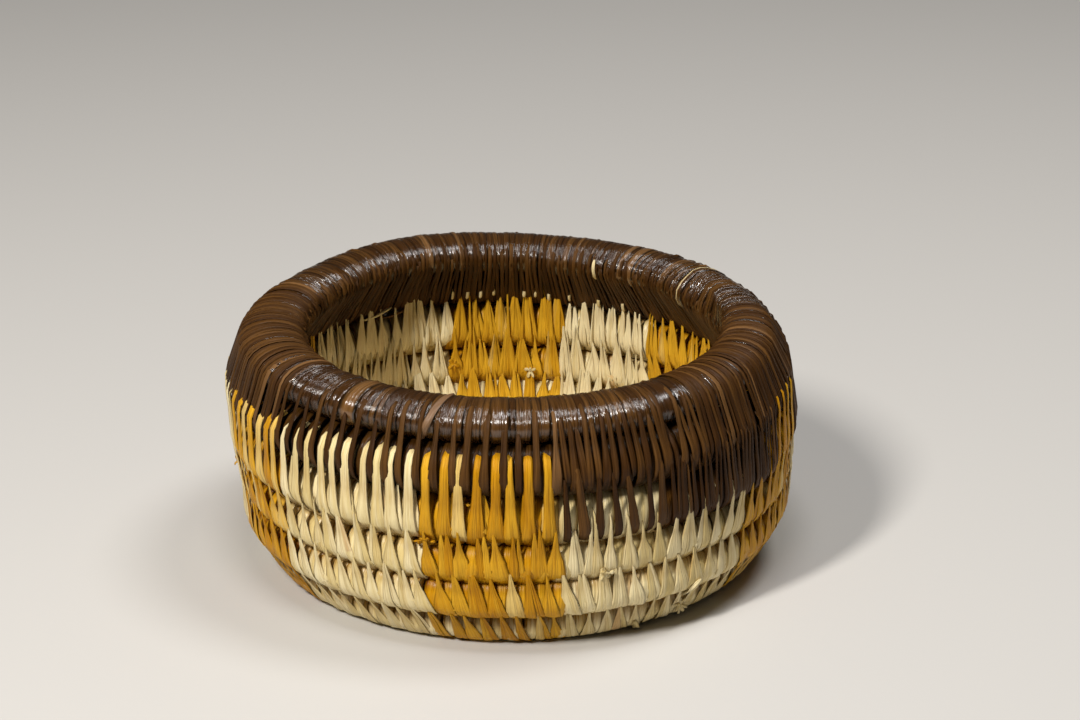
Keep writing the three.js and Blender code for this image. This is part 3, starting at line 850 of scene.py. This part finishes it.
def raffia_fibres():
    """Colour, roughness and height of a raffia strip, from its own lengthwise map. Each
    strip has its own place in its dye's range of colour, which is set higher on inside
    strips to paint light on them, and its own place in the pattern."""
    tree = bpy.data.node_groups.new("raffia_fibres", "ShaderNodeTree")
    calc = partial(number, tree)
    for way, kind, names in (
            ("INPUT", "Color", ("Body", "Pale", "Deep", "Odd Strip")),
            ("INPUT", "Float", ("Odd Share", "Pale Share", "Wrap Polish", "Edge Shade")),
            ("OUTPUT", "Color", ("Color",)), ("OUTPUT", "Float", ("Roughness", "Height"))):
        for name in names:
            tree.interface.new_socket(name, in_out=way, socket_type=f"NodeSocket{kind}")
    given = add_node(tree, "NodeGroupInput").outputs
    result = add_node(tree, "NodeGroupOutput").inputs
    strip = add_node(tree, "ShaderNodeUVMap", uv_map="strip")
    tone, tint, painted_shade, pressed = (
        add_node(tree, "ShaderNodeAttribute", attribute_name=name).outputs["Fac"]
        for name in ("tone", "tint", "painted_shade", "pressed"))

    # painted shade along the strip's edges, where it meets its neighbours; sharper on
    # pressed strips
    split = add_node(tree, "ShaderNodeSeparateXYZ")
    tree.links.new(strip.outputs[0], split.inputs[0])
    beside = calc("ABSOLUTE", calc("MULTIPLY_ADD", split.outputs["Y"], 2, -1))
    beside = calc("MULTIPLY", beside, calc("MULTIPLY_ADD", pressed, 0.3, 1.0))
    edge = calc("POWER", calc("MINIMUM", beside, 1.0), 6)
    edge = calc("MULTIPLY", edge, calc("MULTIPLY_ADD", pressed, given["Edge Shade"], 0.1))

    # its pattern, from another place for each strip
    shift = add_node(tree, "ShaderNodeCombineXYZ")
    tree.links.new(calc("MULTIPLY", tone, 37), shift.inputs["X"])
    tree.links.new(calc("MULTIPLY", tint, 19), shift.inputs["Z"])
    place = add_node(tree, "ShaderNodeVectorMath", operation="ADD")
    tree.links.new(strip.outputs[0], place.inputs[0])
    tree.links.new(shift.outputs[0], place.inputs[1])
    place = place.outputs[0]
    streaks = stretched_noise(tree, place, 0.4, 2.4, 1.5, 2)
    ridges = stretched_noise(tree, place, 0.35, 3.6, 1.5, 2)
    fibres = stretched_noise(tree, place, 0.6, 8, 1.5, 3)
    patches = stretched_noise(tree, place, 1.3, 0.6, 1.4, 2)

    # its colour: odd strips, pale streaks, deep fibres, ridges and patches, and painted
    # shade along the edges and in grooves
    odd = calc("GREATER_THAN", tint, calc("SUBTRACT", 1.0, given["Odd Share"]))
    body = blend_colours(tree, odd, given["Body"], given["Odd Strip"])
    pale_share = calc("ADD", given["Pale Share"], calc("MULTIPLY_ADD", tone, 0.9, -1.45))
    pale_share = calc("MULTIPLY_ADD", streaks, 1.7, pale_share, clamp=True)
    body = blend_colours(tree, pale_share, body, given["Pale"])
    deep_share = calc("MULTIPLY_ADD", fibres, -3.2, 1.55, clamp=True)
    ridge_share = calc("MULTIPLY_ADD", ridges, -3.0, 1.32, clamp=True)
    patch_share = calc("MULTIPLY_ADD", patches, -1.8, 0.95, clamp=True)
    deep_share = calc("MULTIPLY_ADD", ridge_share, 1.1, deep_share, clamp=True)
    deep_share = calc("MULTIPLY_ADD", patch_share, 0.35, deep_share, clamp=True)
    deep_share = calc("MULTIPLY", deep_share, 0.55)
    # painted shade: along the edges, and where the strip lies in a groove
    deep_share = calc("ADD", edge, deep_share, clamp=True)
    deep_share = calc("MULTIPLY_ADD", painted_shade, 0.8, deep_share, clamp=True)
    body = blend_colours(tree, deep_share, body, given["Deep"])
    tree.links.new(body, result["Color"])

    # its roughness and height
    dull = calc("MULTIPLY_ADD", fibres, 0.5, -0.25)
    rough = calc("SUBTRACT", 0.5, calc("MULTIPLY", pressed, given["Wrap Polish"]))
    tree.links.new(calc("ADD", rough, dull, clamp=True), result["Roughness"])
    height = calc("MULTIPLY_ADD", ridges, 0.8, calc("MULTIPLY", fibres, 0.4))
    tree.links.new(height, result["Height"])
    return tree


FIBRES = raffia_fibres()


def raffia(name, dye, gloss, polish, edge, relief):
    """A finish for strips of one dye: gloss is its shine, polish how much smoother its
    wraps are, edge how much more painted shade darkens the edges of its wraps, and relief
    how deep the fibres."""
    finish, tree, skin = new_finish(name)
    skin.inputs["Specular IOR Level"].default_value = gloss
    group = add_node(tree, "ShaderNodeGroup", node_tree=FIBRES)
    for socket, value in dye.items():
        is_colour = isinstance(value, tuple)
        group.inputs[socket].default_value = tint_of(*value) if is_colour else value
    group.inputs["Wrap Polish"].default_value = polish
    group.inputs["Edge Shade"].default_value = edge
    bump = add_node(tree, "ShaderNodeBump")
    bump.inputs["Strength"].default_value = relief
    bump.inputs["Distance"].default_value = 0.001
    tree.links.new(group.outputs["Height"], bump.inputs["Height"])
    tree.links.new(group.outputs["Color"], skin.inputs["Base Color"])
    tree.links.new(group.outputs["Roughness"], skin.inputs["Roughness"])
    tree.links.new(bump.outputs["Normal"], skin.inputs["Normal"])
    return finish


# Deep is the colour of the darker fibres, and also of the painted shade along edges and in
# grooves
CREAM = {"Body": (216, 193, 130), "Pale": (242, 227, 182), "Deep": (152, 109, 27),
         "Odd Strip": (208, 174, 120), "Odd Share": 0.03, "Pale Share": 0.5}
OCHRE = {"Body": (190, 132, 2), "Pale": (220, 168, 38), "Deep": (102, 52, 0),
         "Odd Strip": (222, 190, 112), "Odd Share": 0.12, "Pale Share": 0.5}
BROWN = {"Body": (60, 34, 5), "Pale": (102, 68, 28), "Deep": (13, 6, 1),
         "Odd Strip": (116, 82, 46), "Odd Share": 0.05, "Pale Share": 0.33}
FINISHES = [                 # in the order of DYES
    raffia("cream_raffia", CREAM, gloss=0.28, polish=0.24, edge=0.2, relief=0.7),
    raffia("ochre_raffia", OCHRE, gloss=0.18, polish=0.17, edge=0.25, relief=0.7),
    raffia("brown_raffia", BROWN, gloss=0.14, polish=0.2, edge=0.55, relief=0.6),
    raffia("polished_brown_raffia", BROWN, gloss=0.85, polish=0.3, edge=0.55, relief=0.7),
]


def dry_stems():
    """Pale stems, streaked along the coil by the piece's own lengthwise map."""
    finish, tree, skin = new_finish("dry_stems")
    strip = add_node(tree, "ShaderNodeUVMap", uv_map="strip")
    grain = stretched_noise(tree, strip.outputs[0], 0.4, 14, 2, 3)
    colour = blend_colours(tree, grain, tint_of(120, 88, 50), tint_of(214, 186, 132))
    tree.links.new(colour, skin.inputs["Base Color"])
    skin.inputs["Roughness"].default_value = 0.75
    return finish


# ---- pieces
def make_piece(node, strips):
    """One mesh from all the strips that replace a CAD node."""
    corners, faces, uvs, dyes, painted_shades = [], [], [], [], []
    looks = {"tone": [], "tint": [], "pressed": []}
    first = 0
    for cut, points, uv, dye, look, painted_shade in strips:
        corners.append(points * MM)
        uvs.append(uv)
        faces += [[first + i for i in face] for face in cut["faces"]]
        dyes += [dye] * len(cut["faces"])
        painted_shades.append(painted_shade)
        for name, values in looks.items():
            values += [look[name]] * len(points)
        first += len(points)
    mesh = bpy.data.meshes.new(node + "_strips")
    mesh.from_pydata(np.concatenate(corners).tolist(), [], faces)
    used = sorted(set(dyes))
    for dye in used:
        mesh.materials.append(FINISHES[dye])
    mesh.polygons.foreach_set("material_index", [used.index(d) for d in dyes])
    mesh.polygons.foreach_set("use_smooth", [True] * len(faces))
    corner_of_loop = np.zeros(len(mesh.loops), np.int32)
    mesh.loops.foreach_get("vertex_index", corner_of_loop)
    layer = mesh.uv_layers.new(name="strip")
    layer.data.foreach_set("uv", np.concatenate(uvs)[corner_of_loop].ravel())
    # the painted shade of each corner, which the finishes read
    looks["painted_shade"] = np.concatenate(painted_shades)
    for name, values in looks.items():
        attribute = mesh.attributes.new(name, "FLOAT", "POINT")
        attribute.data.foreach_set("value", np.array(values, np.float32))
    piece = bpy.data.objects.new(node + "_strips", mesh)
    bpy.context.scene.collection.objects.link(piece)
    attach(piece, "root")
    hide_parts(node)


STEM_GAP = 2.1               # from the coil's surface to the stems in it
STEM_STEP = 8.0              # angle from one section of the stems to the next
STEM_LOWEST = 1.6            # lowest height of their corners
THIN_COIL = 3                # half thickness of the coil where they end


def lay_stems():
    """The bundle of stems: a fluted rod that follows the coil to where it gets thin."""
    spots = [(turn, angle) for turn in range(1, RIM + 1)
             for angle in np.arange(LAP_START, LAP_END, STEM_STEP)
             if section(turn, angle)[2] > THIN_COIL]
    stems = start_section("stems", 18, lambda v: v.index % 2)
    bpy.ops.transform.resize(value=(1, 0.92, 0.92), center_override=(0, 0, 0))     # flutes
    co = draw_out(stems, len(spots) - 1)
    ring = np.rint(co[:, 0] * (len(spots) - 1)).astype(int)
    coil = np.array([section(*spot) for spot in spots])[ring]
    radius, height, half, width = coil[:, :4].T
    lean, turned = np.radians(coil[:, 4]), np.radians([spots[i][1] for i in ring])
    out, up = (width - STEM_GAP) * co[:, 1], (half - STEM_GAP) * co[:, 2]
    away = radius + out * np.sin(lean) + up * np.cos(lean)
    high = np.maximum(height - out * np.cos(lean) + up * np.sin(lean), STEM_LOWEST)
    placed = np.stack([away * np.sin(turned), -away * np.cos(turned), high], axis=1) * MM
    mesh = stems.data
    mesh.vertices.foreach_set("co", placed.ravel())
    layer = mesh.uv_layers.new(name="strip")
    side = np.arctan2(co[:, 2], co[:, 1]) / math.pi
    for loop in mesh.loops:
        layer.data[loop.index].uv = (ring[loop.vertex_index] * 1.1, side[loop.vertex_index])
    mesh.materials.append(dry_stems())
    bpy.ops.object.mode_set(mode="EDIT")
    face_outwards()
    bpy.ops.object.shade_smooth()
    stems.select_set(False)
    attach(stems, "root")
    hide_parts("stem_bundle")


for node_name in sorted(pieces):
    make_piece(node_name, pieces[node_name])
lay_stems()


# ---- studio
def plain_finish(name, colour, roughness):
    """A finish without a pattern."""
    finish, _, skin = new_finish(name)
    skin.inputs["Base Color"].default_value = tint_of(*colour)
    skin.inputs["Roughness"].default_value = roughness
    return finish


def lay_floor():
    """The pale floor that the basket is photographed on."""
    bpy.ops.mesh.primitive_circle_add(vertices=96, radius=4, fill_type="NGON")
    floor = bpy.context.object
    floor.name = "floor"
    floor.data.materials.append(plain_finish("pale_floor", (186, 183, 178), 0.7))
    floor.select_set(False)


def hang_lamp(name, place, target, width, height, power, colour=(1, 1, 1)):
    """A lamp with an oval face, at a place in metres and turned towards its target."""
    lamp = bpy.data.lights.new(name, "AREA")
    lamp.shape = "ELLIPSE"
    lamp.size = width
    lamp.size_y = height
    lamp.energy = power
    lamp.color = colour
    holder = bpy.data.objects.new(name, lamp)
    bpy.context.scene.collection.objects.link(holder)
    holder.location = place
    away = holder.location.copy()
    away.x, away.y, away.z = (target[i] - place[i] for i in range(3))
    holder.rotation_euler = away.to_track_quat("-Z", "Y").to_euler()


def set_studio():
    """Daylight from high up on the left in front, and weaker from above and the right."""
    lay_floor()
    hang_lamp("key_lamp", (-0.6, -0.84, 1.12), (0, 0, 0.04), 0.15, 0.4, 25, (1, 0.97, 0.93))
    hang_lamp("top_lamp", (0.0, -0.3, 1.38), (0, 0, 0.05), 0.4, 0.4, 6.5, (0.97, 0.97, 1))
    hang_lamp("fill_lamp", (0.5, 0.1, 1.28), (0, 0, 0.05), 0.45, 0.45, 8)
    world = bpy.data.worlds.new("studio")
    bpy.context.scene.world = world
    world.use_nodes = True
    sky = world.node_tree.nodes["Background"]
    sky.inputs["Color"].default_value = (1, 0.96, 0.9, 1)
    sky.inputs["Strength"].default_value = 0.05
    bpy.context.scene.view_settings.view_transform = "Standard"


PHOTO_WIDTH = 1080           # in pixels
FOCAL_LENGTH = 3134.4        # in the same pixels
SENSOR_WIDTH = 36


def set_camera():
    """The photograph's view: 21 degrees above level, from 1 metre in front."""
    rise = math.radians(21.08)
    aim = (0.00925, 0.0, 0.0620)
    camera = bpy.data.objects.new("camera", bpy.data.cameras.new("camera"))
    bpy.context.scene.collection.objects.link(camera)
    camera.location = (aim[0], aim[1] - math.cos(rise), aim[2] + math.sin(rise))
    camera.rotation_euler = (math.pi / 2 - rise, 0, 0)
    camera.data.sensor_width = SENSOR_WIDTH
    camera.data.lens = SENSOR_WIDTH * FOCAL_LENGTH / PHOTO_WIDTH
    bpy.context.scene.camera = camera


set_studio()
set_camera()
